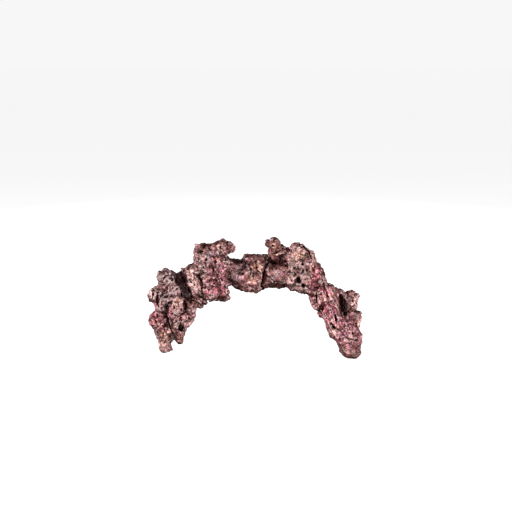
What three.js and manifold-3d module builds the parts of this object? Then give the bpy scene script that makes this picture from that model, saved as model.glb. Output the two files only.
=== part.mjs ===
// Dry reef rock: one porous stone arch that stands on two feet, for an aquarium.
// Rubble is bonded onto a bent spine, and pink and purple crust has closed every joint, so the arch is a
// single solid. Its lumps, ledges, hollows and pits all belong to that one solid.
// Millimetres. +X runs along the span, -Y is the front and +Z is up. The origin is on the floor, under
// the middle of the arch.

import * as THREE from 'three';
import { ImprovedNoise } from 'three/addons/math/ImprovedNoise.js';
import { MarchingCubes } from 'three/addons/objects/MarchingCubes.js';
import { mergeVertices } from 'three/addons/utils/BufferGeometryUtils.js';
import Module from 'manifold-3d';

// The stone's skin is found on a grid of cells. A grid corner as near the skin as this counts as being
// this far off it, so that no facet is a sliver.
const CELL = 6;
const CELLS = 58;
const GRID_MIDDLE = new THREE.Vector3(0, 0, 86);
const NEAREST = 0.35;
const MOST_FACETS = 24000;
const EVEN_ROUNDS = 3;

// Lumps flow into each other over this distance.
const FUSE = 5;

// The warp bends smooth lumps out of round. Knuckles are domes with creases between them.
const WARP = { wave: 34, reach: 7 };
const DEEPEST_KNUCKLE = 20;
const KNUCKLES = [
  { wave: 27, height: 4.5 },
  { wave: 14, height: 2.6 },
];

// A pit's facets, and how far its wall is pushed in and out, as a share of its radius.
const PIT_FACETS = { around: 7, down: 4 };
const PIT_ROUGHNESS = 0.35;

// The floor slab trims the feet flat. It is larger than the rock on every side.
const FLOOR_SLAB = { side: 500, depth: 60 };

// The spine of the arch, from the left foot over the crown to the right foot: where it passes, and its
// half thickness seen from the front. It is a little deeper than it is thick.
const SPINE = [
  { at: [-138, 20, 6], thick: 8 },
  { at: [-132, 18, 37], thick: 11 },
  { at: [-116, 15, 65], thick: 13 },
  { at: [-97, 14, 90], thick: 14 },
  { at: [-70, 13, 111], thick: 17 },
  { at: [-38, 10, 118], thick: 19 },
  { at: [-11, 9, 118], thick: 21 },
  { at: [11, 9, 120], thick: 23 },
  { at: [34, 6, 119], thick: 20 },
  { at: [58, 5, 118], thick: 19 },
  { at: [80, 2, 107], thick: 17 },
  { at: [99, -4, 84], thick: 15 },
  { at: [114, -12, 59], thick: 15 },
  { at: [128, -15, 35], thick: 17 },
  { at: [136, -15, 7], thick: 13 },
];
const SPINE_DEPTH_RATIO = 1.25;

// Lumps: where the middle is, the half sizes along X, Y and Z, and how far the top leans to the right.
const LEFT_FOOT = [
  { at: [-135, 18, 34], half: [15, 22, 20], lean: 8 },
  { at: [-137, 19, 12], half: [11, 18, 21], lean: -6 },
  { at: [-136, 12, 28], half: [9, 17, 15], lean: 0 },
  { at: [-116, 16, 26], half: [6, 9, 12], lean: 8 },
  { at: [-147, 6, 50], half: [9, 12, 9], lean: -20 },
  { at: [-134, 8, 50], half: [10, 13, 8], lean: 0 },
  { at: [-98, 8, 54], half: [9, 22, 15], lean: 20 },
  { at: [-112, -2, 72], half: [13, 20, 17], lean: 0 },
  { at: [-112, 6, 46], half: [13, 24, 18], lean: 20 },
];
const LEFT_HAUNCH = [
  { at: [-125, 0, 111], half: [15, 26, 15], lean: 0 },
  { at: [-102, 16, 102], half: [18, 24, 18], lean: 0 },
  { at: [-125, 8, 88], half: [14, 16, 16], lean: 0 },
  { at: [-144, -2, 87], half: [13, 17, 10], lean: -30 },
  { at: [-141, 0, 72], half: [11, 14, 13], lean: -28 },
  { at: [-84, 8, 73], half: [12, 15, 9], lean: 0 },
];
const LEFT_SHOULDER = [
  { at: [-63, 1, 128], half: [26, 27, 35], lean: 8 },
  { at: [-78, 1, 151], half: [12, 18, 13], lean: 0 },
  { at: [-46, -5, 159], half: [12, 14, 8], lean: 20 },
  { at: [-38, -7, 159], half: [6, 9, 6], lean: 0 },
  { at: [-88, -5, 117], half: [15, 24, 19], lean: 15 },
  { at: [-46, -15, 135], half: [12, 14, 14], lean: 0 },
  { at: [-58, -21, 116], half: [13, 13, 11], lean: 0 },
  { at: [-63, -13, 95], half: [14, 16, 13], lean: 0 },
  { at: [-49, -5, 93], half: [12, 20, 13], lean: 0 },
  { at: [-82, -13, 98], half: [11, 16, 11], lean: 0 },
];
const CROWN = [
  { at: [-4, 1, 125], half: [14, 24, 17], lean: 0 },
  { at: [14, 5, 130], half: [16, 24, 15], lean: 0 },
  { at: [-1, 1, 102], half: [21, 22, 10], lean: -4 },
];
const HORN = [
  { at: [30, 9, 152], half: [10, 12, 15], lean: 0 },
  { at: [25, 8, 165], half: [8, 9, 8], lean: 0 },
  { at: [21, 6, 161], half: [5, 7, 5], lean: 0 },
  { at: [35, 9, 157], half: [7, 9, 10], lean: 0 },
  { at: [31, 18, 141], half: [13, 12, 13], lean: 0 },
  { at: [47, 7, 150], half: [9, 12, 9], lean: 0 },
];
const RIGHT_SHOULDER = [
  { at: [69, 1, 126], half: [22, 28, 33], lean: -12 },
  { at: [62, 1, 151], half: [14, 16, 10], lean: 10 },
  { at: [75, 1, 142], half: [9, 20, 13], lean: -25 },
  { at: [54, -7, 118], half: [14, 22, 22], lean: 0 },
  { at: [64, -19, 112], half: [14, 14, 12], lean: 0 },
  { at: [82, -17, 120], half: [12, 14, 15], lean: -10 },
  { at: [88, 3, 123], half: [9, 20, 15], lean: -15 },
  { at: [71, -3, 98], half: [18, 24, 10], lean: 25 },
];
const RIGHT_LEG = [
  { at: [106, -6, 92], half: [12, 18, 11], lean: -30 },
  { at: [119, -2, 86], half: [12, 18, 11], lean: -40 },
  { at: [84, -12, 76], half: [8, 16, 13], lean: -35 },
  { at: [104, -14, 68], half: [12, 18, 18], lean: -30 },
  { at: [122, -2, 68], half: [14, 14, 20], lean: 0 },
  { at: [122, -16, 44], half: [15, 22, 20], lean: -30 },
  { at: [138, -12, 32], half: [13, 24, 18], lean: 0 },
  { at: [133, -15, 12], half: [11, 22, 13], lean: -30 },
  { at: [137, -13, 10], half: [9, 22, 13], lean: 0 },
  { at: [138, 0, 77], half: [10, 18, 19], lean: -4 },
  { at: [142, 0, 58], half: [12, 16, 9], lean: 0 },
];

// Hollows between the lumps, given like the lumps. These are deep and dark.
const HOLLOWS = [
  { at: [-104, -14, 98], half: [9, 32, 19], lean: -25 },
  { at: [-118, 18, 1], half: [8, 30, 10], lean: 0 },
  { at: [-95, -22, 74], half: [6, 18, 8], lean: 0 },
  { at: [-127, -16, 52], half: [4, 15, 14], lean: -20 },
  { at: [-108, -4, 41], half: [4, 18, 9], lean: 25 },
  { at: [-134, -26, 86], half: [5, 16, 8], lean: 0 },
  { at: [30, -16, 141], half: [9, 20, 7], lean: 0 },
  { at: [13, -26, 116], half: [4, 12, 12], lean: 0 },
  { at: [-75, -38, 117], half: [5, 9, 10], lean: 0 },
  { at: [46, -18, 141], half: [5, 16, 6], lean: 0 },
  { at: [91, -22, 79], half: [4, 24, 12], lean: -20 },
  { at: [129, -18, 71], half: [6, 20, 13], lean: -15 },
];

// Pits and slots that borers left, cut with a knobbly ball: middle, half sizes and lean as above.
const PITS = [
  { at: [61, -31, 114], half: [5, 9, 5.5], lean: -10 },
  { at: [67, -35, 106], half: [4.5, 9, 5.5], lean: -15 },
  { at: [73, -29, 125], half: [3, 7, 3], lean: 0 },
  { at: [56, -18, 129], half: [3, 7, 3], lean: 0 },
  { at: [83, -30, 131], half: [3, 6, 3], lean: 20 },
  { at: [66, -22, 143], half: [3, 6, 2.5], lean: 40 },
  { at: [97, -15, 70], half: [3.5, 9, 3.5], lean: 0 },
  { at: [113, -30, 61], half: [2.5, 9, 7], lean: -25 },
  { at: [110, -29, 48], half: [2.5, 9, 6], lean: -45 },
  { at: [136, -21, 48], half: [4.5, 8, 2.5], lean: 15 },
  { at: [-70, -23, 139], half: [3.5, 7, 4], lean: 0 },
  { at: [-58, -31, 126], half: [3, 7, 4], lean: 20 },
  { at: [-80, -24, 120], half: [4, 8, 4], lean: 0 },
  { at: [-71, -27, 109], half: [4, 8, 5], lean: 0 },
  { at: [-50, -32, 105], half: [3.5, 6, 3], lean: 30 },
  { at: [-90, -28, 110], half: [3, 6, 3], lean: 0 },
  { at: [-121, -21, 117], half: [4, 7, 3], lean: 30 },
  { at: [-111, -13, 82], half: [3.5, 7, 4], lean: 0 },
  { at: [-95, -2, 55], half: [4, 7, 4], lean: 0 },
  { at: [-18, -17, 123], half: [4, 8, 4], lean: -30 },
  { at: [14, -17, 130], half: [5, 9, 4], lean: 30 },
];

// Strands that have grown over the hollow beside the left knob, each bent through three places.
const STRANDS = [
  { through: [[-138, -6, 64], [-130, -8, 85], [-119, -2, 101]], thick: 3.4 },
  { through: [[-131, -8, 81], [-118, -10, 88], [-105, -1, 99]], thick: 3 },
];

// The crust's middle colour, and how dull it is.
const CRUST = { color: '#8c6164', roughness: 0.92, metalness: 0 };

function shaped({ at, half, lean }) {
  return {
    middle: new THREE.Vector3(...at),
    half: new THREE.Vector3(...half),
    upright: new THREE.Quaternion().setFromAxisAngle(
      new THREE.Vector3(0, 1, 0), THREE.MathUtils.degToRad(-lean)),
  };
}
const LUMPS = [
  ...LEFT_FOOT, ...LEFT_HAUNCH, ...LEFT_SHOULDER, ...CROWN, ...HORN, ...RIGHT_SHOULDER, ...RIGHT_LEG,
].map(shaped);
const HOLLOW_SHAPES = HOLLOWS.map(shaped);

const wasm = await Module();
wasm.setup();
const noise = new ImprovedNoise();

// The greater of two depths, rounded where they are nearly equal.
function fuse(a, b) {
  const near = Math.max(0, 1 - Math.abs(a - b) / FUSE);
  return Math.max(a, b) + near * near * FUSE * 0.25;
}

// How deep a place lies inside a lump: 0 on its surface and negative outside.
const local = new THREE.Vector3();
function depthInLump(place, { middle, half, upright }) {
  local.copy(place).sub(middle).applyQuaternion(upright).divide(half);
  const share = local.length();
  if (share < 1e-6) return Math.min(half.x, half.y, half.z);
  const slope = local.divide(half).length();
  return (share * (1 - share)) / slope;
}

// How deep a place lies inside the spine, taken as a chain of round bars between its stations.
const SPINE_BARS = SPINE.slice(1).map((end, i) => ({
  start: new THREE.Vector3(...SPINE[i].at),
  run: new THREE.Vector3(...end.at).sub(new THREE.Vector3(...SPINE[i].at)),
  thick: [SPINE[i].thick, end.thick],
}));
function depthInSpine(place) {
  let deepest = -Infinity;
  for (const { start, run, thick } of SPINE_BARS) {
    const away = local.copy(place).sub(start);
    const along = THREE.MathUtils.clamp(away.dot(run) / run.lengthSq(), 0, 1);
    away.addScaledVector(run, -along);
    away.y /= SPINE_DEPTH_RATIO;
    deepest = Math.max(deepest, THREE.MathUtils.lerp(thick[0], thick[1], along) - away.length());
  }
  return deepest;
}

// How far the knuckles stand out at a place. Their creases lie where the noise changes sign.
function knuckles({ x, y, z }) {
  let out = 0;
  for (const { wave, height } of KNUCKLES) {
    const dome = Math.abs(noise.noise(x / wave + 3.1, y / wave + 7.7, z / wave + 1.3));
    out += height * (2.4 * dome - 0.6);
  }
  return out;
}

// How deep a place lies inside the whole stone.
const warped = new THREE.Vector3();
function depthInRock(place) {
  const { x, y, z } = place;
  const { wave, reach } = WARP;
  warped.set(
    x + reach * noise.noise(x / wave, y / wave, z / wave + 11.5),
    y + reach * noise.noise(x / wave + 5.2, y / wave, z / wave),
    z + reach * noise.noise(x / wave, y / wave + 8.9, z / wave));
  let depth = depthInSpine(warped);
  for (const each of LUMPS) depth = fuse(depth, depthInLump(warped, each));
  if (depth < -DEEPEST_KNUCKLE) return depth;
  depth += knuckles(place);
  for (const each of HOLLOW_SHAPES) depth = -fuse(-depth, depthInLump(warped, each));
  return depth;
}

// A closed three.js geometry as a solid that can be joined and cut.
function solidOf(geometry) {
  const bare = new THREE.BufferGeometry();
  bare.setAttribute('position', geometry.getAttribute('position'));
  bare.setIndex(geometry.index);
  const merged = mergeVertices(bare, 1e-3);
  const mesh = new wasm.Mesh({
    numProp: 3,
    vertProperties: merged.attributes.position.array,
    triVerts: new Uint32Array(merged.index.array),
  });
  return new wasm.Manifold(mesh);
}

function geometryOf(solid) {
  const mesh = solid.getMesh();
  const geometry = new THREE.BufferGeometry();
  geometry.setAttribute('position', new THREE.BufferAttribute(mesh.vertProperties, 3));
  geometry.setIndex(new THREE.BufferAttribute(mesh.triVerts, 1));
  geometry.computeVertexNormals();
  return geometry;
}

// The mass of the stone, cut from the grid where the depth passes through zero.
function mass() {
  const cubes = new MarchingCubes(CELLS, new THREE.Material(), false, false, MOST_FACETS);
  cubes.isolation = 0;
  const place = new THREE.Vector3();
  for (let k = 0; k < CELLS; k++) {
    for (let j = 0; j < CELLS; j++) {
      for (let i = 0; i < CELLS; i++) {
        place.set(i, j, k).subScalar(CELLS / 2).multiplyScalar(CELL).add(GRID_MIDDLE);
        let depth = depthInRock(place);
        if (Math.abs(depth) < NEAREST) depth = depth < 0 ? -NEAREST : NEAREST;
        cubes.setCell(i, j, k, depth);
      }
    }
  }
  cubes.update();
  const drawn = cubes.geometry.getAttribute('position').array.slice(0, cubes.geometry.drawRange.count * 3);
  const facets = new THREE.BufferGeometry();
  facets.setAttribute('position', new THREE.BufferAttribute(drawn, 3));
  const geometry = mergeVertices(facets, 1e-5);
  geometry.scale(CELL * CELLS / 2, CELL * CELLS / 2, CELL * CELLS / 2);
  geometry.translate(...GRID_MIDDLE);
  return solidOf(even(geometry));
}

// Evens the facets out: each corner drifts towards the middle of its neighbours, then returns to where
// the depth is zero.
function even(geometry) {
  const position = geometry.getAttribute('position');
  const corners = geometry.index.array;
  const neighbours = Array.from({ length: position.count }, () => new Set());
  for (let f = 0; f < corners.length; f += 3) {
    for (let c = 0; c < 3; c++) {
      neighbours[corners[f + c]].add(corners[f + (c + 1) % 3]);
      neighbours[corners[f + (c + 1) % 3]].add(corners[f + c]);
    }
  }
  const corner = new THREE.Vector3();
  const middle = new THREE.Vector3();
  const slope = new THREE.Vector3();
  const beside = new THREE.Vector3();
  for (let round = 0; round < EVEN_ROUNDS; round++) {
    const before = position.array.slice();
    neighbours.forEach((ring, i) => {
      middle.set(0, 0, 0);
      for (const j of ring) middle.add(corner.fromArray(before, j * 3));
      corner.fromArray(before, i * 3).lerp(middle.divideScalar(ring.size), 0.5);
      for (let step = 0; step < 2; step++) {
        const depth = depthInRock(corner);
        for (const axis of ['x', 'y', 'z']) {
          beside.copy(corner);
          beside[axis] += 0.5;
          slope[axis] = (depthInRock(beside) - depth) / 0.5;
        }
        const reach = THREE.MathUtils.clamp(depth / Math.max(slope.lengthSq(), 0.25), -1, 1);
        corner.addScaledVector(slope, -reach);
      }
      corner.toArray(position.array, i * 3);
    });
  }
  return geometry;
}

function floorSlab() {
  const slab = new THREE.BoxGeometry(FLOOR_SLAB.side, FLOOR_SLAB.side, FLOOR_SLAB.depth);
  slab.translate(0, 0, -FLOOR_SLAB.depth / 2);
  return solidOf(slab);
}

// A ball with a knobbly skin, stretched to its half sizes and leaned over.
function pit({ at, half, lean }) {
  const ball = new THREE.SphereGeometry(1, PIT_FACETS.around, PIT_FACETS.down);
  const position = ball.getAttribute('position');
  const skin = new THREE.Vector3();
  for (let i = 0; i < position.count; i++) {
    skin.fromBufferAttribute(position, i);
    const dent = noise.noise(skin.x * 2 + at[0], skin.y * 2 + at[1], skin.z * 2 + at[2]);
    skin.multiplyScalar(1 + PIT_ROUGHNESS * dent);
    position.setXYZ(i, skin.x, skin.y, skin.z);
  }
  ball.scale(...half).rotateY(THREE.MathUtils.degToRad(lean)).translate(...at);
  return solidOf(ball);
}

// A round bar bent along the curve through its places.
function strand({ through, thick }) {
  const path = new THREE.CatmullRomCurve3(through.map((place) => new THREE.Vector3(...place)));
  const length = path.getLength();
  const bar = new THREE.CapsuleGeometry(thick, length, 2, 6, 4);
  const position = bar.getAttribute('position');
  const across = new THREE.Vector3();
  const front = new THREE.Vector3(0, -1, 0);
  for (let i = 0; i < position.count; i++) {
    const along = position.getY(i) / length + 0.5;
    const at = THREE.MathUtils.clamp(along, 0, 1);
    const ahead = path.getTangentAt(at);
    across.crossVectors(ahead, front).normalize();
    const out = new THREE.Vector3().crossVectors(across, ahead);
    const place = path.getPointAt(at)
      .addScaledVector(ahead, (along - at) * length)
      .addScaledVector(across, position.getX(i))
      .addScaledVector(out, position.getZ(i));
    position.setXYZ(i, place.x, place.y, place.z);
  }
  return solidOf(bar);
}

// Joins everything, cuts the pits and trims the feet. A pocket sealed inside is left filled.
function reefRock() {
  let rock = mass();
  for (const each of STRANDS) rock = rock.add(strand(each));
  for (const each of PITS) rock = rock.subtract(pit(each));
  rock = rock.subtract(floorSlab());
  const bodies = rock.decompose().sort((a, b) => b.volume() - a.volume());
  return bodies[0];
}

// The origin goes under the middle of the finished stone.
function centred(geometry) {
  geometry.computeBoundingBox();
  const { min, max } = geometry.boundingBox;
  return geometry.translate(-(min.x + max.x) / 2, -(min.y + max.y) / 2, 0);
}

const rock = new THREE.Mesh(centred(geometryOf(reefRock())), new THREE.MeshStandardMaterial(CRUST));
rock.name = 'reef_rock';

const part = new THREE.Group();
part.add(rock);

export default part;
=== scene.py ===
# %% [markdown]
# # A dry reef rock arch
#
# This lesson turns a plain CAD solid into a piece of dry reef rock: a porous stone arch that stands on two
# feet in an aquarium. Rubble is bonded onto a bent spine, and pink and purple crust has grown over every
# joint. The CAD solid has the right lumps, feet and span, so it is the block that we carve. We never change
# it. We work on a copy, and the finished copy stands for it in the picture.

import math

import bpy
import numpy as np
from mathutils import Matrix, Vector
from mathutils.bvhtree import BVHTree


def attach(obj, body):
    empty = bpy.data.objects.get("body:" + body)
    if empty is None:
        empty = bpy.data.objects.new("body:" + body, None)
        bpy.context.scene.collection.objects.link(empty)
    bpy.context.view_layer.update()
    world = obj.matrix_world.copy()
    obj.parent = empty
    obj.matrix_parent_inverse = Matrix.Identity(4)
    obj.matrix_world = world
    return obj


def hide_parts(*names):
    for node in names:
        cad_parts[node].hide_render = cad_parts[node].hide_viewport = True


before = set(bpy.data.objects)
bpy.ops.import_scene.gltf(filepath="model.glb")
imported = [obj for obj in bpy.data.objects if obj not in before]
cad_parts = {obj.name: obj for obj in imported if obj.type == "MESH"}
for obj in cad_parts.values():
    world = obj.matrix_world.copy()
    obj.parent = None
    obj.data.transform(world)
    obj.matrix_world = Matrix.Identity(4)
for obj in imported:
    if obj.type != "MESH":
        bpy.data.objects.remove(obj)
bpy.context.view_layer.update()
MM = 0.001

# %% [markdown]
# ## Working by hand, in code
#
# An operator acts on whatever is selected. The frame arrives selected, and each new primitive selects itself,
# so the first helper makes sure that only the wanted objects are picked. The second one applies a modifier as
# soon as it is set up, which turns a live effect into plain mesh. The third one is used after every large
# change: a voxel remesh melts all that touches into one skin of even squares.


# %% Helpers for picking, applying, wrapping and joining
def only(*pieces):
    """Selects these objects and nothing else, and makes the first one active."""
    bpy.ops.object.select_all(action="DESELECT")
    for piece in pieces:
        piece.select_set(True)
    bpy.context.view_layer.objects.active = pieces[0]


def apply_modifier(piece, kind, **settings):
    """Adds one modifier, sets it up and applies it."""
    modifier = piece.modifiers.new(kind.lower(), kind)
    for name, value in settings.items():
        setattr(modifier, name, value)
    only(piece)
    bpy.ops.object.modifier_apply(modifier=modifier.name)


def wrap(piece, squares):
    """Wraps the piece in one even, closed skin of squares of this many millimetres."""
    apply_modifier(piece, "REMESH", mode="VOXEL", voxel_size=squares * MM)


def join(first, *others):
    """Makes one object of several and returns it."""
    only(first, *others)
    bpy.ops.object.join()
    return first


def count(piece):
    """How many faces a piece has."""
    return len(piece.data.polygons)


print("hand tools ready")


# %% Measuring helpers
def corners_of(piece):
    """The piece's corners, in millimetres."""
    corners = np.zeros(len(piece.data.vertices) * 3)
    piece.data.vertices.foreach_get("co", corners)
    return corners.reshape(-1, 3) / MM


def normals_of(piece):
    """Which way the skin faces at each corner."""
    normals = np.zeros(len(piece.data.vertices) * 3)
    piece.data.vertices.foreach_get("normal", normals)
    return normals.reshape(-1, 3)


def inside(corners, zone):
    """How far each corner lies from an ellipsoid's middle: 1 on its skin, and less inside."""
    middle, half = zone
    return np.sqrt((((corners - middle) / half) ** 2).sum(1))


print("measuring tools ready")

# %% [markdown]
# ## The camera comes first
#
# Many details of the rock are known only by where the camera sees them. So the camera is set up before the
# carving. A detail is then noted as a place on an upright plane through the front of the rock, and a line of
# sight from the camera through that place finds the spot on the skin, however deep it lies. The lens and the
# sensor are in millimetres, the distance is in metres, and the rock's middle lies at MIDDLE_AT in the
# picture.

# %% Set up the camera
ELEVATION = math.radians(9)
DISTANCE = 1.741
LENS = 85
SENSOR = 36
FRAME_PIXELS = 512
MIDDLE = Vector((0, 0, 86.5)) * MM
MIDDLE_AT = (255.5, 296)

backward = Vector((0, -math.cos(ELEVATION), math.sin(ELEVATION)))
upward = Vector((0, math.sin(ELEVATION), math.cos(ELEVATION)))
pixel = DISTANCE * SENSOR / LENS / FRAME_PIXELS
eye = MIDDLE + backward * DISTANCE
eye += upward * (MIDDLE_AT[1] - FRAME_PIXELS / 2) * pixel
eye -= Vector((1, 0, 0)) * (MIDDLE_AT[0] - FRAME_PIXELS / 2) * pixel
bpy.ops.object.camera_add(location=eye, rotation=(math.pi / 2 - ELEVATION, 0, 0))
camera = bpy.context.active_object
camera.name = "camera"
camera.data.lens = LENS
camera.data.sensor_width = SENSOR
bpy.context.scene.camera = camera
bpy.context.scene.view_settings.view_transform = "Standard"
print("one pixel covers", round(pixel / MM, 2), "mm at the rock")


# %% Find a spot on the rock along a line of sight
SIGHT_PLANE = -17


def skin_of(piece):
    """A tree that answers where a ray meets the piece."""
    return BVHTree.FromObject(piece, bpy.context.evaluated_depsgraph_get())


def spot_on(skin, x, z):
    """The spot that the camera sees behind this place on the upright plane, or None."""
    sight = Vector((x, SIGHT_PLANE, z)) * MM - eye
    return skin.ray_cast(eye, sight.normalized())[0]


def route_on(skin, places, spacing):
    """Spots on the skin, about this many millimetres apart, under a line through places (x, z)."""
    route = []
    for start, end in zip(places, places[1:]):
        number = max(1, round(math.dist(start, end) / spacing))
        for share in np.linspace(0, 1, number, endpoint=False):
            route.append(spot_on(skin, *(np.array(start) + (np.array(end) - start) * share)))
    return [spot for spot in route if spot]


print("lines of sight pass through the plane y =", SIGHT_PLANE, "mm")

# %% [markdown]
# ## The block
#
# The CAD node's mesh is a bag of loose triangles, so the copy's doubles are merged first. Some lumps of
# rubble that the plain solid leaves out are added as balls, each stretched to its size: the nub on the horn,
# the end of the hook, the shelf, the toe and the knobs on the legs and shoulders. Then everything is wrapped
# in one skin. Booleans could join the balls to the block as well, but they would keep every sharp joint, and
# the wrap also gives the even squares that later pushes need. A few rounds of smoothing melt the facets and
# the joints before any detail goes on.

# %% Copy the solid
SAME_SPOT = 0.01 * MM
rock_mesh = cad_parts["reef_rock"].data.copy()
rock_mesh.materials.clear()
rock = bpy.data.objects.new("reef_rock_skin", rock_mesh)
bpy.context.scene.collection.objects.link(rock)
only(rock)
bpy.ops.object.mode_set(mode="EDIT")
bpy.ops.mesh.select_all(action="SELECT")
bpy.ops.mesh.remove_doubles(threshold=SAME_SPOT)
bpy.ops.object.mode_set(mode="OBJECT")
print("copied:", count(rock), "faces")

# %% Add lumps of rubble: middle, half size, lean in degrees
LUMPS = [
    ((25, 3, 163.5), (3.6, 5, 3), 0), ((27, 4, 163), (8, 9, 9.5), -20), ((36, 4, 152), (8, 9, 6), 0),
    ((50, 4, 150), (6, 8, 5), 0), ((93, -6, 80), (8, 13, 14), -25), ((-148, -6, 90), (7.5, 11, 7), -15),
    ((-39, -5, 161), (6.5, 8, 5), -30), ((-129, -8, 118), (11, 14, 10), 0), ((-83, -8, 158), (3.5, 5, 6), -15),
    ((-145.5, -4, 50.5), (8, 12, 7.5), 0), ((-77, -4, 80), (9, 10, 4.5), 15), ((-93, -4, 63), (8, 12, 9), 0),
    ((-110, 6, 29), (8, 9, 7), 0), ((-43, -22, 98), (7.5, 9, 7.5), 0), ((-70, -24, 110), (9, 8, 16), 10),
    ((137.5, -14, 77), (8, 12, 11), -15), ((60, 0, 156), (11, 12, 8), 10), ((87, 0, 123), (7, 12, 11), -20),
    ((-6, -10, 143), (14, 10, 6), 0), ((-118, -14, 98), (9, 10, 10), 0), ((-97, -12, 58), (7, 8, 8), 20),
]
lumps = []
for middle, half, lean in LUMPS:
    turn = (0, math.radians(lean), 0)
    bpy.ops.mesh.primitive_ico_sphere_add(subdivisions=3, radius=MM, location=Vector(middle) * MM, scale=half,
                                          rotation=turn)
    lumps.append(bpy.context.active_object)
join(rock, *lumps)
print("lumps added:", len(lumps))

# %% Wrap everything in one even skin
wrap(rock, squares=1.5)
apply_modifier(rock, "SMOOTH", factor=0.5, iterations=5)
print("block:", count(rock), "faces")

# %% [markdown]
# ## Broken rubble
#
# Reef rubble breaks into rounded knobs with narrow, deep creases between them. A Displace modifier pushes the
# skin out and in along its normals, led by a procedural texture. A cell texture gives its lowest values where
# two cells meet. A colour ramp on the texture raises all but those lowest values, so the cells become round
# knobs and their borders stay narrow. Sculpting could do this too, but a texture reaches the hidden sides as
# well and gives the same knobs in each run. The skin is wrapped again after the large knobs, so that the
# small ones have even squares to move.


# %% Textures and a push along the normals
def set_ramp(ramp, greys):
    """Gives a colour ramp these stops, each a position and a grey."""
    while len(ramp.elements) < len(greys):
        ramp.elements.new(0.5)
    for stop, (position, grey) in zip(ramp.elements, greys):
        stop.position = position
        stop.color = (grey, grey, grey, 1)


def cloud(name, wave, basis="BLENDER_ORIGINAL", hard=False, depth=2, ramp=()):
    """A cloud texture. Its wave is the size of one knob in metres, and its ramp bends its values."""
    texture = bpy.data.textures.new(name, "CLOUDS")
    texture.noise_scale = wave
    texture.noise_basis = basis
    texture.noise_type = "HARD_NOISE" if hard else "SOFT_NOISE"
    texture.noise_depth = depth
    if ramp:
        texture.use_color_ramp = True
        set_ramp(texture.color_ramp, ramp)
    return texture


def push(piece, texture, height, middle=0.5, group=""):
    """Displaces the piece along its normals. Skin where the texture has its middle value stays."""
    apply_modifier(piece, "DISPLACE", texture=texture, texture_coords="LOCAL", strength=height,
                   mid_level=middle, direction="NORMAL", vertex_group=group)


print("textures ready")

# %% Keep some zones calm: the crown's smooth lobes, the fluted leg and the two soles
CALM = [
    ((-27, 0, 118), (22, 60, 22)), ((24, 0, 114), (20, 60, 16)), ((135, -10, 10), (22, 60, 16)),
    ((-134, 10, 8), (16, 60, 18)), ((103, -20, 74), (14, 30, 22)), ((115, -20, 50), (14, 30, 20)),
]
CALMING = 0.65
LEVELS = 20


def weigh_calm(piece, name):
    """A vertex group that is 1 on rough skin and lower by CALMING in the inner half of each calm zone."""
    corners = corners_of(piece)
    calm = np.max([np.clip(1.6 - 1.2 * inside(corners, zone), 0, 1) for zone in CALM], axis=0)
    group = piece.vertex_groups.get(name) or piece.vertex_groups.new(name=name)
    levels = np.round((1 - CALMING * calm) * LEVELS).astype(int)
    for level in np.unique(levels):
        group.add(np.flatnonzero(levels == level).tolist(), level / LEVELS, "REPLACE")


print("calm zones:", len(CALM))

# %% Large knobs, then small ones
CREASED = ((0, 0), (0.1, 0.45), (0.3, 0.85), (1, 1))
RUBBLE_WAVE, RUBBLE_HEIGHT = 13 * MM, 4.2 * MM
KNOB_WAVE, KNOB_HEIGHT = 7 * MM, 3.6 * MM
weigh_calm(rock, "rough")
rubble = cloud("rubble", RUBBLE_WAVE, "VORONOI_F2_F1", depth=0, ramp=CREASED)
push(rock, rubble, RUBBLE_HEIGHT, middle=0.6, group="rough")
wrap(rock, squares=1.1)
weigh_calm(rock, "rough")
push(rock, cloud("knobs", KNOB_WAVE, hard=True, depth=1), KNOB_HEIGHT, middle=0.3, group="rough")
print("knobs:", count(rock), "faces")

# %% [markdown]
# ## Flutes
#
# The right leg is a slab of fluted coral, with fine ribs that run down it. A striped texture would have to be
# turned and masked to fit the slab, so each rib is laid by itself: a curve with a round bevel, which a
# convert turns into a mesh tube. Its route follows the front of the rock, sways a little, and doesn't drop
# into narrow hollows, because each spot is held near the front of its neighbours. The ribs are sunk by about
# a third of their radius, and the next wrap welds them on.


# %% A helper that makes round tubes along routes
def tubes(name, routes):
    """One mesh of round tubes. Each route is a list of spots with the tube's radius in mm."""
    bpy.ops.curve.primitive_nurbs_path_add()
    curve = bpy.context.active_object
    curve.name = name
    curve.data.splines.clear()
    curve.data.bevel_depth = MM
    curve.data.bevel_resolution = 2
    curve.data.use_fill_caps = True
    for route in routes:
        spline = curve.data.splines.new("POLY")
        spline.points.add(len(route) - 1)
        for point, (spot, radius) in zip(spline.points, route):
            point.co = (*spot, 1)
            point.radius = radius
    only(curve)
    bpy.ops.object.convert(target="MESH")
    return bpy.context.active_object


print("tube maker ready")

# %% Lay the flutes: places (x, z) and radius in mm
FLUTES = [
    ([(99, 103), (108, 85), (118, 68), (128, 46)], 1.8),
    ([(93, 97), (101, 80), (111, 59), (121, 39)], 1.9),
    ([(89, 87), (95, 71), (104, 53), (115, 33), (124, 17)], 1.8),
    ([(105, 101), (116, 81), (125, 58), (134, 40)], 1.7),
    ([(96, 92), (103, 78), (110, 66)], 1.4),
    ([(106, 62), (112, 50), (122, 32)], 1.6),
]
FLUTE_SINK = 0.35
TUBE_STEP = 1.5
NEIGHBOURS = 4
NEAR_FRONT = 35
SWAY_STEP, SWAY_LIMIT = 0.25, 1.2
THICKNESS = (0.85, 1.15)
rng = np.random.default_rng(5)


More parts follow.
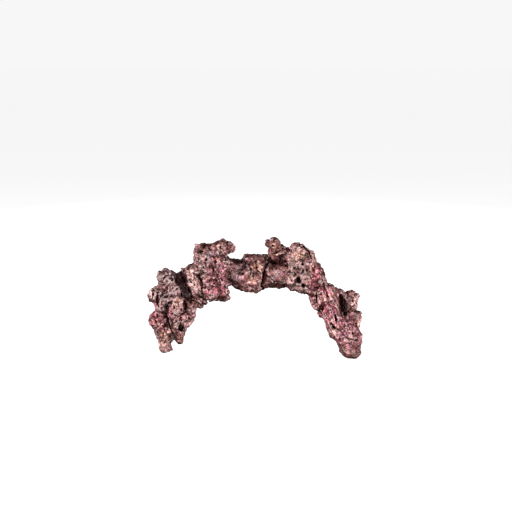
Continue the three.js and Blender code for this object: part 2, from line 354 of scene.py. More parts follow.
def lay(skin, places, radius, sink=0.0):
    """The route of a wavy tube along the front of the rock. The sink is a share of its radius."""
    route = route_on(skin, places, TUBE_STEP)
    padded = np.pad([spot.y for spot in route], NEIGHBOURS, mode="edge")
    fronts = [np.percentile(padded[n:n + 2 * NEIGHBOURS + 1], NEAR_FRONT) for n in range(len(route))]
    sway = np.cumsum(rng.normal(0, SWAY_STEP, len(route)))
    sway = np.clip(sway - sway.mean(), -SWAY_LIMIT, SWAY_LIMIT)
    return [(Vector((spot.x + shift * MM, front + radius * sink * MM, spot.z)), radius * rng.uniform(*THICKNESS))
            for spot, front, shift in zip(route, fronts, sway)]


skin = skin_of(rock)
flutes = [lay(skin, places, radius, FLUTE_SINK) for places, radius in FLUTES]
join(rock, tubes("flutes", flutes))
wrap(rock, squares=0.9)
print("flutes:", len(flutes), "rock:", count(rock), "faces")

# %% [markdown]
# ## Clefts
#
# The lumps of the real rock are bonded rubble, and between them run clefts that are deep enough to look
# black. A push along the normals can't make such steep walls, so a Boolean cuts them. The cutter is made of
# many small balls in a row, each stretched into the rock along the line of sight. A little noise makes the
# ball lumpy, so that the cleft's edges come out ragged. A finer ball of the same sort cuts the round pits
# that show in front.


# %% A lumpy ball to cut with
BALL_WAVE, BALL_HEIGHT = 0.9, 0.8


def make_ball(name, subdivisions):
    """A ball of radius 1 with a noisy skin."""
    bpy.ops.mesh.primitive_ico_sphere_add(subdivisions=subdivisions, radius=1)
    ball = bpy.context.active_object
    ball.name = name
    push(ball, cloud(name, BALL_WAVE, depth=1), BALL_HEIGHT)
    return ball


def copy_ball(ball, at, out, half, spin=0):
    """One copy of the ball at this spot, stretched, with its height along the way out of the rock."""
    piece = ball.copy()
    piece.data = ball.data.copy()
    bpy.context.scene.collection.objects.link(piece)
    turn = Vector(out).to_track_quat("Z", "Y").to_matrix().to_4x4()
    size = Matrix.Diagonal((*(Vector(half) * MM), 1))
    piece.data.transform(Matrix.Translation(at) @ turn @ Matrix.Rotation(spin, 4, "Z") @ size)
    return piece


coarse_ball, fine_ball = make_ball("burr", 1), make_ball("pip", 2)
print("balls:", count(coarse_ball), "and", count(fine_ball), "faces")

# %% Lay the clefts: line of places (x, z), width, depth, all in mm
CLEFTS = [
    ([(-112, 130), (-106, 123), (-102, 114), (-98, 106), (-93, 97), (-91, 88)], 6.5, 15),
    ([(-103, 84), (-99, 77), (-102, 69)], 3.6, 10),
    ([(-140, 94), (-141, 84), (-138, 74)], 3.4, 10),
    ([(-131, 68), (-126, 58), (-122, 46), (-118, 34)], 3.2, 12),
    ([(-119, 65), (-111, 59), (-102, 65)], 2.2, 6),
    ([(-105, 56), (-111, 42)], 2.0, 6),
    ([(-99, 71), (-91, 64), (-87, 55)], 1.8, 5),
    ([(-87, 122), (-80, 117), (-75, 109), (-76, 97), (-73, 87)], 3.2, 7),
    ([(-50, 156), (-42, 143), (-46, 133), (-49, 122), (-48, 111), (-42, 101)], 1.6, 6),
    ([(19, 143), (16, 135), (12, 126), (11, 117), (9, 107), (10, 98)], 4.2, 13),
    ([(20, 144), (17, 136), (13, 129)], 6, 10),
    ([(20, 141), (29, 136), (39, 139), (45, 134), (42, 142)], 7, 14),
    ([(22, 156), (28, 150), (35, 156)], 2.4, 6),
    ([(12, 169), (12, 162)], 5, 26),
    ([(-97, 88), (-88, 83), (-79, 79)], 2.4, 8),
    ([(86, 96), (87, 88), (87, 79)], 2.4, 10),
    ([(121, 88), (122, 78), (125, 69), (129, 60)], 7.0, 9),
    ([(134, 49), (145, 46)], 2.4, 7),
    ([(114, 63), (115, 52)], 3.4, 10),
    ([(108, 51), (116, 42)], 3.0, 9),
    ([(67, 162), (76, 153), (80, 143)], 2.6, 7),
    ([(77, 139), (83, 127), (82, 116)], 1.7, 4),
    ([(87, 137), (90, 126), (95, 111)], 2.0, 6),
    ([(95, 107), (100, 97), (103, 88)], 1.8, 5),
    ([(93, 90), (102, 75), (111, 61)], 1.6, 4),
    ([(100, 94), (111, 80), (119, 65)], 1.6, 4),
    ([(89, 80), (98, 64), (107, 48), (117, 30)], 1.6, 4),
    ([(-138, 52), (-130, 42), (-133, 30)], 1.9, 4),
    ([(-136, 126), (-127, 119), (-119, 120)], 1.8, 4),
    ([(-139, 111), (-129, 109), (-125, 100)], 2.2, 5),
    ([(-150, 100), (-145, 93), (-148, 84)], 1.9, 5),
    ([(-39, 136), (-28, 127), (-18, 130)], 1.5, 3),
    ([(-13, 139), (-5, 130), (-8, 119)], 2.0, 4),
    ([(1, 139), (2, 127), (9, 122)], 2.0, 5),
    ([(15, 122), (26, 111), (41, 109)], 1.8, 4),
    ([(-70, 145), (-65, 139), (-66, 132)], 1.8, 4),
    ([(-62, 104), (-53, 114), (-42, 119)], 1.8, 4),
    ([(-77, 139), (-73, 130), (-82, 124)], 1.8, 4),
    ([(122, 40), (131, 28), (144, 24)], 1.8, 4),
]
CLEFT_SPACING, CLEFT_STRAY = 0.35, 0.12
HALF_WIDTHS, HALF_DEPTHS = (0.4, 0.7), (0.5, 0.75)
CLEFT_SINK = 0.35
skin = skin_of(rock)
cutters = []
for places, wide, deep in CLEFTS:
    for spot in route_on(skin, places, wide * CLEFT_SPACING):
        spot += Vector(rng.normal(0, wide * CLEFT_STRAY, 3)) * MM
        outward = (eye - spot).normalized()
        half = (wide * rng.uniform(*HALF_WIDTHS), wide * rng.uniform(*HALF_WIDTHS), deep * rng.uniform(*HALF_DEPTHS))
        cutters.append(copy_ball(coarse_ball, spot - outward * deep * CLEFT_SINK * MM, outward, half))
print("clefts:", len(CLEFTS), "of", len(cutters), "balls")

# %% Lay the pits that show in front: place (x, z), half width, half height, depth
PITS = [
    (61, 113, 4.6, 5, 10), (68, 105, 3.6, 4.4, 9), (73, 127, 2.2, 2.6, 5), (56, 122, 2, 2.4, 5), (84, 131, 2, 2, 4),
    (96, 70, 2.6, 2.6, 6), (64, 143, 2, 2, 4), (-70, 142, 2.6, 3, 6), (-60, 128, 2.4, 3.4, 6), (-80, 119, 3, 3.2, 6),
    (-72, 103, 2.8, 3.6, 6), (-51, 105, 2.6, 2.4, 5), (-92, 110, 2.2, 2.4, 4), (-121, 116, 3, 2.4, 5),
    (-113, 82, 2.6, 3, 6), (-95, 56, 2.6, 2.6, 5), (-18, 122, 2.4, 2.4, 4), (-146, 92, 2.2, 2.8, 5),
    (-130, 22, 2.2, 2.8, 4), (138, 84, 2.2, 2.6, 5), (140, 68, 2.2, 2.2, 4), (-104, 48, 2.4, 2.2, 5),
]
for x, z, across, along, deep in PITS:
    spot = spot_on(skin, x, z)
    cutters.append(copy_ball(fine_ball, spot, eye - spot, (across, along, deep)))
print("pits:", len(PITS))

# %% [markdown]
# ## Pores and wormed grooves
#
# The whole rock is pitted, also where the camera never looks. Random pores are spread over it with a fixed
# seed, so that each run gives the same rock, and each keeps its distance from the others. Worms have left
# shallow grooves that wander over the skin. Both could be painted on, but light from the side shows at once
# which holes are real. A groove is a round tube like a flute. Its route takes a small step at a time, turns a
# little, and drops back onto the skin after each step. Everything joins one cutter, because one large cut is
# far quicker than many small ones.

# %% Scatter pores
PORES = 330
PORES_FROM = 6
PORE_REACH, PORE_STRETCH, PORE_DEPTH = (1.1, 2.7), (0.8, 1.8), 2
PORE_DISTANCE = 2
ANY_TURN = (0, 6.3)
corners, normals = corners_of(rock), normals_of(rock)
quiet = np.min([inside(corners, zone) for zone in CALM], axis=0) < 1
pores = []
for pick in rng.permutation(np.flatnonzero(~quiet & (corners[:, 2] > PORES_FROM))):
    reach = rng.uniform(*PORE_REACH)
    if all(np.linalg.norm(corners[pick] - other) > PORE_DISTANCE * (reach + far) for other, far in pores):
        pores.append((corners[pick], reach))
        half = (reach, reach * rng.uniform(*PORE_STRETCH), reach * PORE_DEPTH)
        spot, spin = Vector(corners[pick]) * MM, rng.uniform(*ANY_TURN)
        cutters.append(copy_ball(fine_ball, spot, normals[pick], half, spin))
    if len(pores) == PORES:
        break
print("pores:", len(pores))


# %% Let grooves wander over the skin
GROOVES = 330
GROOVES_FROM = 8
GROOVE_STEP, GROOVE_SINK = 1.5 * MM, 0.3
GROOVE_RADIUS, GROOVE_SWELL = (0.7, 1.25), (0.7, 1.2)
GROOVE_STRIDES = (5, 12)
GROOVE_BEND = 0.45
wanderers = []
for pick in rng.choice(np.flatnonzero(corners[:, 2] > GROOVES_FROM), GROOVES):
    spot, outward = Vector(corners[pick]) * MM, Vector(normals[pick])
    heading = outward.orthogonal().normalized()
    heading.rotate(Matrix.Rotation(rng.uniform(*ANY_TURN), 3, outward))
    thick = rng.uniform(*GROOVE_RADIUS)
    route = []
    for _ in range(rng.integers(*GROOVE_STRIDES)):
        route.append((spot - outward * GROOVE_SINK * MM, thick * rng.uniform(*GROOVE_SWELL)))
        heading.rotate(Matrix.Rotation(rng.normal(0, GROOVE_BEND), 3, outward))
        spot, outward, *_ = skin.find_nearest(spot + heading * GROOVE_STEP)
        heading = (heading - outward * heading.dot(outward)).normalized()
    wanderers.append(route)
cutters.append(tubes("grooves", wanderers))
print("grooves:", len(wanderers))

# %% Cut everything in one go
cutter = join(*cutters)
wrap(cutter, squares=0.6)
before = count(rock)
apply_modifier(rock, "BOOLEAN", operation="DIFFERENCE", solver="MANIFOLD", object=cutter)
print("cutter:", count(cutter), "faces; rock:", before, "to", count(rock))
for spare in (cutter, coarse_ball, fine_ball):
    bpy.data.objects.remove(spare)

# %% [markdown]
# ## Strands
#
# Thin pale strands, the tubes of dead growth, cross the hollow of the left leg. Colour alone would look flat
# there, so they are round tubes like the flutes. They are laid after the cutting, so that they lie on the
# rock and bridge its hollows.

# %% Lay the strands: places (x, z) and radius in mm
STRANDS = [
    ([(-136, 71), (-136, 84), (-129, 91), (-119, 97), (-107, 107)], 0.95),
    ([(-131, 65), (-128, 77), (-123, 88), (-119, 96)], 0.8),
    ([(-129, 77), (-128, 85), (-120, 93), (-106, 100)], 0.75),
    ([(-142, 72), (-136, 81), (-132, 88)], 0.7),
]
skin = skin_of(rock)
strands = [lay(skin, places, radius) for places, radius in STRANDS]
join(rock, tubes("strands", strands))
print("strands:", len(strands))

# %% [markdown]
# ## Gritty skin
#
# The last wrap has squares of three quarters of a millimetre. Cutting can leave crumbs that hang in the air,
# so the skin is separated into loose parts and only the largest is kept. Fine cells then push up grains of
# about the size of coarse sand: the texture is lowest in the middle of a cell, so a push with a negative
# height lifts the middles. A bump in the material would be cheaper, but it leaves the outline smooth. The
# feet are made flat where they meet the floor, so that the rock stands on its two soles.

# %% Weld everything and drop loose crumbs
wrap(rock, squares=0.75)
only(rock)
bpy.ops.mesh.separate(type="LOOSE")
bits = sorted(bpy.context.selected_objects, key=count)
rock = bits.pop()
print("crumbs dropped:", [count(bit) for bit in bits])
for bit in bits:
    bpy.data.objects.remove(bit)

# %% Add grains and flatten the soles
GRAIN_WAVE, GRAIN_HEIGHT = 2.6 * MM, -1.0 * MM
SOLE_HEIGHT = 0.5
push(rock, cloud("grains", GRAIN_WAVE, "VORONOI_F1", depth=1), GRAIN_HEIGHT)
corners = corners_of(rock)
corners[:, 2] = np.where(corners[:, 2] < SOLE_HEIGHT, 0, corners[:, 2])
rock.data.vertices.foreach_set("co", (corners * MM).ravel())
rock.data.update()
print("grains:", count(rock), "faces; lowest point in mm:", corners[:, 2].min())

# %% [markdown]
# ## Measuring the relief
#
# The material paints shade dark into the hollows, and paints the knobs pale, partly as worn crust and partly as a
# painted highlight. So it has to know where the hollows are. Blender's own measure, Pointiness, looks only at a
# corner's nearest neighbours, so it would find grains but no clefts. So we melt a copy of the corners for some
# rounds and look how far each one moved along its normal: a corner in a hollow moves out and one on a knob moves
# in. Few rounds find grains and pores, and many rounds find clefts. RELIEF holds the rounds, and how many
# millimetres stand for a whole step from 0 to 1. Melting the normals instead tells which way a whole lump faces.


# %% Melt a copy of the corners
def melted(piece, values, rounds):
    """Values after each corner has shared its own with its neighbours for some rounds."""
    edges = np.zeros(len(piece.data.edges) * 2, int)
    piece.data.edges.foreach_get("vertices", edges)
    one, other = edges.reshape(-1, 2).T
    total = len(values)
    shared = np.bincount(one, minlength=total) + np.bincount(other, minlength=total)
    values = values.copy()
    for _ in range(rounds):
        for axis in range(values.shape[1]):
            column = values[:, axis]
            drawn = np.bincount(one, column[other], total) + np.bincount(other, column[one], total)
            values[:, axis] = 0.5 * column + 0.5 * drawn / np.maximum(shared, 1)
    return values


RELIEF = {"fine": (6, 1.0), "middle": (18, 2.5), "wide": (48, 7)}
FACING_ROUNDS = 24
corners, normals = corners_of(rock), normals_of(rock)
relief = {}
drift, done = corners, 0
for name, (rounds, _) in RELIEF.items():
    drift, done = melted(rock, drift, rounds - done), rounds
    relief[name] = ((drift - corners) * normals).sum(1)
    print(name, "relief in mm:", np.percentile(relief[name], (5, 50, 95)).round(2))
facing = melted(rock, normals, FACING_ROUNDS)
facing /= np.linalg.norm(facing, axis=1)[:, None]

# %% [markdown]
# ## Colour zones
#
# The crust on the real rock changes from lump to lump: rose, cream, magenta red, tan, grey (ash) and a dark
# wine. Dusk marks the hollows that no light reaches. Each zone is an ellipsoid on the front where that finish
# shows, and random ones are strewn over the back. A share of 1 in the middle of a zone falls off to 0 at
# twice its size, and the material makes that border ragged. Painting by hand would do as well, but numbers
# are easier to move. The shares are kept on the corners as attributes, because they follow this rock and no
# plain pattern would.

# %% Note the zones in front: middle and half size in mm
ZONES = {
    "rose": [
        ((-143, -10, 75), (9, 16, 9)), ((-148, -5, 55), (13, 18, 11)), ((-95, 0, 56), (14, 20, 14)),
        ((-53, -32, 109), (15, 16, 16)), ((-67, -30, 100), (11, 14, 9)), ((80, -28, 105), (11, 16, 9)),
        ((97, -20, 92), (11, 18, 12)), ((104, -22, 66), (14, 20, 20)), ((118, -25, 50), (12, 18, 18)),
        ((135, -25, 40), (16, 22, 20)), ((140, -14, 65), (8, 16, 8)), ((-109, 18, 30), (8, 14, 9)),
        ((-118, 0, 64), (10, 14, 8)), ((112, -22, 28), (8, 14, 12)), ((88, -14, 72), (8, 14, 8)),
    ],
    "cream": [
        ((-148, -13, 97), (10, 18, 9)), ((-111, -11, 82), (12, 16, 13)), ((-90, -27, 119), (13, 16, 18)),
        ((-49, -8, 158), (8, 12, 6)), ((52, -10, 137), (10, 18, 16)), ((54, -20, 112), (9, 16, 12)),
        ((66, -16, 148), (12, 16, 8)), ((70, -24, 120), (9, 12, 9)), ((145, -14, 76), (10, 18, 15)),
        ((-132, -2, 12), (10, 20, 12)), ((150, -8, 55), (5, 14, 22)), ((-98, -10, 48), (8, 14, 8)),
        ((88, -14, 80), (5, 12, 7)), ((-85, -18, 98), (9, 14, 8)), ((96, -22, 84), (6, 12, 7)),
        ((110, -22, 46), (6, 14, 12)), ((-93, 0, 48), (8, 14, 8)), ((-122, -10, 22), (7, 16, 10)),
        ((62, -12, 96), (10, 18, 8)), ((133, -28, 30), (7, 14, 6)), ((82, -16, 140), (9, 14, 10)),
    ],
    "red": [
        ((-150, -6, 53), (8, 14, 7)), ((-136, -8, 44), (7, 20, 8)), ((88, -22, 126), (9, 18, 14)),
        ((83, -24, 114), (6, 14, 7)), ((97, -16, 103), (7, 14, 5)), ((-50, -30, 100), (7, 12, 5)),
        ((99, -20, 70), (5, 14, 12)),
    ],
    "tan": [
        ((-130, -2, 27), (10, 18, 12)), ((-5, -21, 114), (7, 14, 6)), ((4, -14, 131), (8, 14, 6)),
        ((-75, 0, 84), (4, 14, 3)), ((28, 0, 160), (4, 12, 4)), ((34, -4, 148), (3, 12, 3)),
        ((60, -12, 146), (7, 12, 7)),
    ],
    "ash": [
        ((-121, -20, 116), (16, 22, 14)), ((-74, -18, 147), (12, 16, 10)), ((-28, -16, 121), (10, 22, 11)),
        ((27, -18, 121), (7, 18, 7)), ((69, -26, 131), (8, 14, 8)), ((-104, -5, 92), (9, 14, 10)),
        ((135, -14, 80), (6, 14, 12)),
    ],
    "wine": [
        ((0, -8, 148), (24, 20, 11)), ((24, -4, 150), (10, 14, 14)), ((33, -6, 135), (14, 14, 8)),
        ((0, 0, 96), (32, 30, 7)), ((42, -6, 108), (12, 16, 8)), ((-34, -6, 146), (7, 16, 12)),
        ((13, -14, 106), (12, 16, 13)), ((-84, -2, 77), (11, 16, 7)), ((30, -2, 156), (9, 14, 13)),
        ((-118, 8, 32), (5, 12, 12)), ((0, -18, 128), (8, 12, 10)), ((-40, -4, 163), (10, 12, 5)),
        ((14, -10, 140), (8, 12, 10)), ((-6, -14, 92), (20, 18, 4)), ((19, 0, 162), (7, 12, 7)),
        ((-76, -8, 158), (10, 14, 5)), ((136, -26, 2), (20, 28, 12)), ((-110, 6, 22), (7, 16, 8)),
        ((-78, -26, 90), (9, 14, 6)), ((36, -14, 112), (11, 14, 8)),
    ],
    "dusk": [
        ((-99, -8, 112), (4, 30, 10)), ((-119, -2, 48), (3.5, 16, 9)), ((13, -20, 120), (3, 16, 14)),
        ((31, -12, 138), (11, 18, 5)), ((61, -26, 113), (3, 14, 3.4)), ((68, -28, 105), (2.4, 14, 2.8)),
        ((114, -26, 57), (1.6, 14, 4.5)), ((112, -26, 46), (3.5, 14, 1.8)), ((123, -12, 75), (5, 18, 15)),
        ((87, -12, 87), (2, 20, 6)), ((15, -8, 96), (9, 16, 4)), ((98, 0, 124), (3, 16, 7)),
        ((-90, -14, 84), (7, 16, 2.5)), ((80, -14, 92), (6, 16, 3)), ((-77, -26, 112), (2.5, 14, 7)),
        ((-140, -16, 82), (2.5, 14, 8)), ((-101, -8, 76), (3, 20, 7)),
    ],
}
print("zones in front:", {kind: len(zones) for kind, zones in ZONES.items()})

# %% Strew random zones over the back
BACK_FROM, SOLES_TO = 8, 4
OF_EACH = 8
HALF_SIZES = (5, 11)
rng = np.random.default_rng(11)
behind = corners[(corners[:, 1] > BACK_FROM) & (corners[:, 2] > SOLES_TO)]
for kind in ("rose", "cream", "red", "tan", "ash", "wine") * OF_EACH:
    ZONES[kind].append((behind[rng.integers(len(behind))], np.full(3, rng.uniform(*HALF_SIZES))))
print("zones:", {kind: len(zones) for kind, zones in ZONES.items()})


# %% Keep shares and relief on the corners
def store(piece, name, *columns):
    """Keeps three numbers for each corner as one colour attribute that a material can read."""
    colour = np.zeros((len(piece.data.vertices), 4))
    for place, column in enumerate(columns):
        colour[:, place] = column
    piece.data.attributes.new(name, "FLOAT_COLOR", "POINT").data.foreach_set("color", colour.ravel())


def near(routes, reach):
    """1 on the routes, and 0 at one and a half times this reach in mm."""
    away = np.full(len(corners), np.inf)
    for route in routes:
        for spot, _ in route:
            away = np.minimum(away, np.linalg.norm(corners - np.array(spot) / MM, axis=1))
    return np.clip(1.5 - away / reach, 0, 1)


STRAND_REACH, FLUTE_REACH = 1.5, 2.4
share = {kind: np.clip(1 - np.min([inside(corners, zone) for zone in zones], axis=0) / 2, 0, 1)
         for kind, zones in ZONES.items()}
store(rock, "warm", share["rose"], share["cream"], share["red"])
store(rock, "cool", share["tan"], share["ash"], share["wine"])
# The third number of this attribute is the dusk share: painted shade in the hollows that no light reaches.
store(rock, "growth", near(strands, STRAND_REACH), near(flutes, FLUTE_REACH), share["dusk"])
store(rock, "relief", *(np.clip(0.5 + relief[name] / whole, 0, 1) for name, (_, whole) in RELIEF.items()))
store(rock, "facing", facing[:, 2] / 2 + 0.5)
print("attributes:", [layer.name for layer in rock.data.attributes if layer.data_type == "FLOAT_COLOR"])

# %% [markdown]
# ## Crust material
#
# One material covers the rock, because one for each colour would leave sharp borders. It starts from a mauve
# ground, lays the zones over it, and then makes the tone uneven with three sizes of swirled noise, as the
# skin of dead coralline algae is. Pale knobs, partly worn crust and partly a painted highlight, follow the
# relief that we measured, and so do dark stains and painted shade in the hollows. Whole lumps get painted
# shade too: lighter crowns and darker wide hollows, and darkened tops and undersides. Every pattern reads
# Object coordinates in millimetres, so it runs on without a break from one chunk of rock to the next.
#
# Most numbers below stand in one helper, step: from which value to which value a mark comes in, and how
# strong it is then. A noise has most of its values between 0.35 and 0.65. A relief of 0.5 is even skin, more
# is a hollow and less is a knob.


# %% A helper for node trees
def node(tree, kind, settings=None, **inputs):
    """Adds a node. Inputs are named by their place, as i0, or by their label, and take a value or an output."""
    made = tree.nodes.new(kind)
    for name, value in (settings or {}).items():
        setattr(made, name, value)
    for name, value in inputs.items():
        socket = made.inputs[int(name[1:]) if name[1:].isdigit() else name.replace("_", " ")]
        if isinstance(value, bpy.types.NodeSocket):
            tree.links.new(value, socket)
        else:
            socket.default_value = value
    return made


print("node helper ready")

# %% Start the material, with patterns measured in millimetres
crust = bpy.data.materials.new("crust")
crust.use_nodes = True
tree = crust.node_tree
place = node(tree, "ShaderNodeMapping", Vector=node(tree, "ShaderNodeTexCoord").outputs["Object"],
             Scale=(1 / MM, 1 / MM, 1 / MM)).outputs[0]


def grain(size, detail=2.0, rough=0.55, swirl=0.0):
    """Noise with a wave of this many millimetres."""
    return node(tree, "ShaderNodeTexNoise", Vector=place, Scale=1 / size, Detail=detail, Roughness=rough,
                Distortion=swirl).outputs["Fac"]


def step(value, low, high, bottom=0.0, top=1.0):
    """Rises smoothly from bottom to top while the value goes from low to high, also where low is the larger."""
    return node(tree, "ShaderNodeMapRange", {"interpolation_type": "SMOOTHSTEP"}, Value=value, From_Min=low,
                From_Max=high, To_Min=bottom, To_Max=top).outputs[0]


def sums(operation, *values):
    """One step of arithmetic."""
    inputs = {f"i{n}": value for n, value in enumerate(values)}
    return node(tree, "ShaderNodeMath", {"operation": operation}, **inputs).outputs[0]


def blend(share, under, over):
    """Lays one colour over another by a share. The Mix node keeps its colours in inputs 6 and 7."""
    under, over = ((*colour, 1) if isinstance(colour, tuple) else colour for colour in (under, over))
    return node(tree, "ShaderNodeMix", {"data_type": "RGBA"}, Factor=share, i6=under, i7=over).outputs[2]


def brighter(colour, factor):
    """A colour times a number."""
    return node(tree, "ShaderNodeVectorMath", {"operation": "SCALE"}, i0=colour, Scale=factor).outputs[0]


def tinted(colour, tint):
    """A colour times a colour."""
    return node(tree, "ShaderNodeVectorMath", {"operation": "MULTIPLY"}, i0=colour, i1=tint).outputs[0]


def channels(name):
    """The three numbers of an attribute."""
    attribute = node(tree, "ShaderNodeAttribute", {"attribute_name": name})
    return node(tree, "ShaderNodeSeparateColor", i0=attribute.outputs["Color"]).outputs


print("pattern helpers ready:", len(tree.nodes), "nodes so far")

# %% Lay the zones over a mauve ground
MAUVE = (0.202, 0.083, 0.090)
PLUM = (0.112, 0.040, 0.046)
FINISHES = {
    "ash": (0.205, 0.122, 0.130),
    "rose": (0.285, 0.092, 0.118),
    "cream": (0.448, 0.256, 0.236),
    "tan": (0.390, 0.200, 0.160),
    "red": (0.310, 0.082, 0.100),
    "wine": (0.096, 0.037, 0.034),
}
warm, cool, growth, relief, facing = (channels(name) for name in ("warm", "cool", "growth", "relief", "facing"))
ragged = sums("SUBTRACT", grain(7, 4, 0.65, 0.6), 0.5)
colour = blend(step(grain(11, 3), 0.42, 0.6), MAUVE, PLUM)
RAGGEDNESS = 2.2
LAYERS = {"ash": cool[1], "rose": warm[0], "cream": warm[1], "wine": cool[2], "tan": cool[0], "red": warm[2]}
for kind, zone in LAYERS.items():
    edge = sums("MULTIPLY_ADD", ragged, RAGGEDNESS, zone)
    colour = blend(step(edge, 0.36, 0.64, top=0.85), colour, FINISHES[kind])
print("layers:", list(LAYERS))

# %% Let the hue drift between olive and lilac
OLIVE = (1.03, 1.01, 0.82)
LILAC = (0.99, 0.98, 1.12)
colour = tinted(colour, blend(step(grain(7, 3, 0.6, 1.0), 0.4, 0.6), OLIVE, LILAC))
print("hue drift laid,", len(tree.nodes), "nodes")

# %% Make the tone uneven: size in mm, detail and swirl of a noise, with its lowest and highest brightness
MOTTLES = ((9, 2, 1.6, 0.5, 1.42), (4.2, 2, 1.4, 0.5, 1.5), (24, 1, 0.8, 0.8, 1.22))
mottle_and_painted_shade = 1.0
for size, detail, swirl, darkest, brightest in MOTTLES:
    mottle_and_painted_shade = sums("MULTIPLY", mottle_and_painted_shade, step(grain(size, detail, 0.5, swirl), 0.38, 0.62, darkest, brightest))
# Painted shade: by the wide relief, whole lumps come out lighter on their crowns and darker in wide hollows.
mottle_and_painted_shade = sums("MULTIPLY", mottle_and_painted_shade, step(relief[2], 0.64, 0.34, 0.72, 1.2))
colour = brighter(colour, mottle_and_painted_shade)
print("mottles:", len(MOTTLES))


# %% Paint pale knobs, partly worn crust and partly painted highlight, and strew pale flecks
def strewn(size, start, full, top):
    """Swirled specks, denser in some patches than in others."""
    return step(sums("MULTIPLY_ADD", patches, 0.5, grain(size, 2, 0.6, 2.2)), start, full, top=top)


PALE = (0.62, 0.50, 0.46)
LIT = 1.9
patches = sums("SUBTRACT", grain(14, 2, 0.5, 0.5), 0.5)
# Painted highlight, with some wear: knobs that the relief finds are made pale.
worn_and_highlit_tips = sums("ADD", step(relief[0], 0.44, 0.15), step(relief[1], 0.44, 0.12))
worn_and_highlit_tips = sums("MULTIPLY", worn_and_highlit_tips, step(grain(5, 2, 0.5, 1.0), 0.4, 0.6, 0.1, 0.6))
pale_wear_and_highlight = sums("MAXIMUM", worn_and_highlit_tips, strewn(5.4, 0.57, 0.66, top=0.62))
pale_wear_and_highlight = sums("MULTIPLY", pale_wear_and_highlight, step(cool[2], 0.3, 0.8, 1.0, 0.3))
# The pale marks mix a lit copy of the colour, times LIT, with PALE: a painted highlight.
colour = blend(pale_wear_and_highlight, colour, blend(0.9, brighter(colour, LIT), PALE))
print("tips and flecks laid,", len(tree.nodes), "nodes")

# %% Lay the strands, paint highlights on the flute ridges and paint shade in the troughs beside them
STRAND = (0.34, 0.25, 0.255)
colour = blend(sums("MULTIPLY", growth[0], 0.75), colour, STRAND)
# Painted highlight: the flute ridges get a lit copy of the crust colour.
colour = blend(step(growth[1], 0.5, 0.95, top=0.4), colour, brighter(colour, LIT))
# Painted shade: the troughs along each flute are darkened.
painted_furrow_shade = sums("MULTIPLY", step(growth[1], 0.02, 0.2), step(growth[1], 0.5, 0.25, top=0.6))
print("strands and flutes laid,", len(tree.nodes), "nodes")

# %% Darken strewn stains, then paint shade into hollows and flute troughs, onto tops and undersides, and into the hollows that no light reaches
DARK_STAIN_AND_SHADE = (0.021, 0.003, 0.0016)
# The pit mask holds real dark stains, strewn at random, and painted shade in the hollows that the relief finds and
# in the flute troughs.
pits = strewn(5.2, 0.43, 0.36, top=0.85)
for darkness in (step(relief[0], 0.6, 0.9), step(relief[1], 0.58, 0.78), step(relief[2], 0.6, 0.84), painted_furrow_shade):
    pits = sums("MAXIMUM", pits, darkness)
# Painted shade: the tops and undersides of whole lumps are darkened.
painted_top_and_under_shade = sums("ADD", step(facing[0], 0.7, 0.95, top=0.6), step(facing[0], 0.38, 0.12, top=0.65))
dusk = step(sums("ADD", ragged, growth[2]), 0.35, 0.62, top=0.95)
for darkness in (pits, painted_top_and_under_shade, dusk):
    colour = blend(darkness, colour, DARK_STAIN_AND_SHADE)
print("dark marks laid,", len(tree.nodes), "nodes")

# %% Give it a dry, gritty finish
BUMP_HEIGHT = 0.9 * MM
shader = tree.nodes["Principled BSDF"]
tree.links.new(colour, shader.inputs["Base Color"])
shader.inputs["Roughness"].default_value = 0.9
shader.inputs["Specular IOR Level"].default_value = 0.05
heights = sums("ADD", grain(1.8, 3, 0.7), grain(0.8, 2, 0.6))
bump = node(tree, "ShaderNodeBump", Strength=0.8, Distance=BUMP_HEIGHT, Height=heights)
tree.links.new(bump.outputs[0], shader.inputs["Normal"])
print("crust nodes:", len(tree.nodes))

# %% [markdown]
# ## Chunks
#
# The real arch is bonded from chunks of rubble, and a single mesh with this much detail would be too heavy to
# handle. So the skin is parted into five chunks where such chunks meet: a leg and a shoulder on each side,
# and the crown. Bisect cuts along a plane and can close the cut. Each chunk keeps the outer side of its
# plane, and the rest goes on to the next cut. The flat cut faces are kept out of the smooth shading, so the
# skin shades on across the joint as if nothing had been cut.


# %% Cut a chunk off
TO_THE_CUT = 0.0001 * MM


def cut(piece, spot, way, keep_outer):
    """Cuts the piece along a plane, throws one side away and closes the cut."""
    only(piece)
    bpy.ops.object.mode_set(mode="EDIT")
    bpy.ops.mesh.select_all(action="SELECT")
    bpy.ops.mesh.bisect(plane_co=Vector(spot) * MM, plane_no=way, use_fill=True, clear_inner=keep_outer,
                        clear_outer=not keep_outer, threshold=TO_THE_CUT)
    bpy.ops.object.mode_set(mode="OBJECT")


def chunk_off(piece, name, spot, way):
    """Parts off what lies beyond the plane, as a new piece, and leaves the rest."""
    chunk = piece.copy()
    chunk.data = piece.data.copy()
    chunk.name = name
    bpy.context.scene.collection.objects.link(chunk)
    cut(chunk, spot, way, True)
    cut(piece, spot, way, False)
    return chunk


print("ready to part the rock")

# %% Part the rock: name, a spot on the cut in mm, and the way out
JOINTS = [
    ("reef_rock_left_leg", (-89, 0, 100), (-0.887, 0, -0.462)),
    ("reef_rock_right_leg", (86, 0, 101), (0.800, 0, -0.600)),
    ("reef_rock_left_shoulder", (-44, 0, 120), (-1, 0, 0)),
    ("reef_rock_right_shoulder", (43, 0, 120), (1, 0, 0)),
]
rock.data.materials.clear()
rock.data.materials.append(crust)
rock.vertex_groups.clear()
chunks = [chunk_off(rock, *joint) for joint in JOINTS] + [rock]
rock.name = "reef_rock_crown"
print("chunks:", {chunk.name: count(chunk) for chunk in chunks})

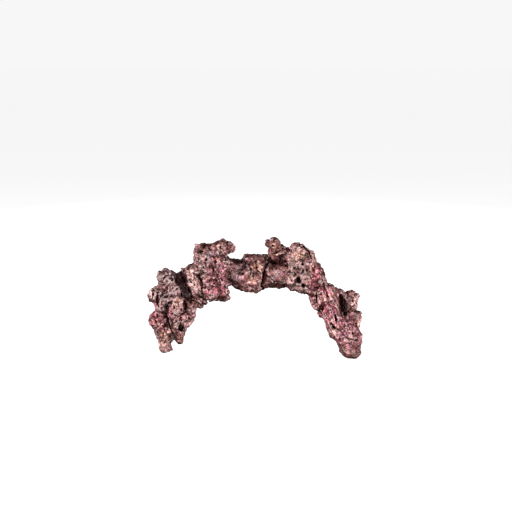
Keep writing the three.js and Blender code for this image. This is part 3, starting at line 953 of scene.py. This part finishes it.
# %% Finish the chunks
ON_THE_CUT = 0.01
for chunk in chunks:
    apply_modifier(chunk, "TRIANGULATE")
    chunk.data.shade_smooth()
    corners = corners_of(chunk)
    triangles = np.zeros(count(chunk) * 3, int)
    chunk.data.polygons.foreach_get("vertices", triangles)
    flat = np.zeros(count(chunk), bool)
    for _, spot, way in JOINTS:
        on_plane = np.abs((corners - spot) @ way) < ON_THE_CUT
        flat |= on_plane[triangles.reshape(-1, 3)].all(1)
    chunk.data.polygons.foreach_set("use_smooth", ~flat)
    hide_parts("reef_rock")
    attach(chunk, "root")
    print(chunk.name, count(chunk), "triangles,", flat.sum(), "of them on cuts")

# %% [markdown]
# ## Floor, lights and backdrop
#
# The rock stands in a pale studio. The floor glows a little, so that it stays near white however weak the
# lamps are, and it throws no light up onto the rock. Two soft lamps stand low on the left and the right, a
# weak one in front and two behind. Low lamps leave the clefts dark and the tops dim, as on the real rock. The
# backdrop is a bright band at the height of the horizon and dark above and below, so that it doesn't wash out
# the hollows.

# %% Floor
FLOOR_SIZE, FLOOR_GREY, FLOOR_GLOW = 400, 0.5, 0.8
bpy.ops.mesh.primitive_plane_add(size=FLOOR_SIZE)
floor = bpy.context.active_object
floor.name = "floor"
paint = bpy.data.materials.new("floor_paint")
paint.use_nodes = True
floor_shader = paint.node_tree.nodes["Principled BSDF"]
floor_shader.inputs["Base Color"].default_value = (FLOOR_GREY, FLOOR_GREY, FLOOR_GREY, 1)
floor_shader.inputs["Roughness"].default_value = 0.9
floor_shader.inputs["Emission Color"].default_value = (1, 1, 1, 1)
floor_shader.inputs["Emission Strength"].default_value = FLOOR_GLOW
floor.data.materials.append(paint)
floor.visible_diffuse = False
print("floor:", FLOOR_SIZE, "m wide")


# %% Lamps
def softbox(name, place, size, watts):
    """A round soft lamp that points at the rock."""
    bpy.ops.object.light_add(type="AREA", location=place)
    lamp = bpy.context.active_object
    lamp.name = name
    lamp.data.shape = "DISK"
    lamp.data.size = size
    lamp.data.energy = watts
    lamp.rotation_euler = (Vector(place) - MIDDLE).to_track_quat("Z", "Y").to_euler()
    return lamp


lamps = [
    softbox("key_left", (-1.35, -0.95, 0.42), 0.35, 46),
    softbox("key_right", (1.35, -1.0, 0.36), 0.35, 42),
    softbox("front", (0.15, -1.9, 0.28), 0.5, 9),
    softbox("back_left", (-1.2, 1.35, 0.3), 0.5, 22),
    softbox("back_right", (1.2, 1.35, 0.3), 0.5, 22),
]
print("lamps:", [lamp.name for lamp in lamps])

# %% Backdrop: where each grey stands on the way up from straight below (0) to straight above (1)
BANDS = ((0.49, 0.08), (0.495, 0.93), (0.56, 0.93), (0.64, 0.16))
world = bpy.data.worlds.new("studio")
world.use_nodes = True
sky = world.node_tree
height = node(sky, "ShaderNodeSeparateXYZ", i0=node(sky, "ShaderNodeTexCoord").outputs["Generated"]).outputs["Z"]
share_up = node(sky, "ShaderNodeMapRange", Value=height, From_Min=-1.0, From_Max=1.0).outputs[0]
ramp = node(sky, "ShaderNodeValToRGB", i0=share_up)
set_ramp(ramp.color_ramp, BANDS)
sky.links.new(ramp.outputs["Color"], sky.nodes["Background"].inputs["Color"])
bpy.context.scene.world = world
print("backdrop stops:", [round(stop.position, 3) for stop in ramp.color_ramp.elements])
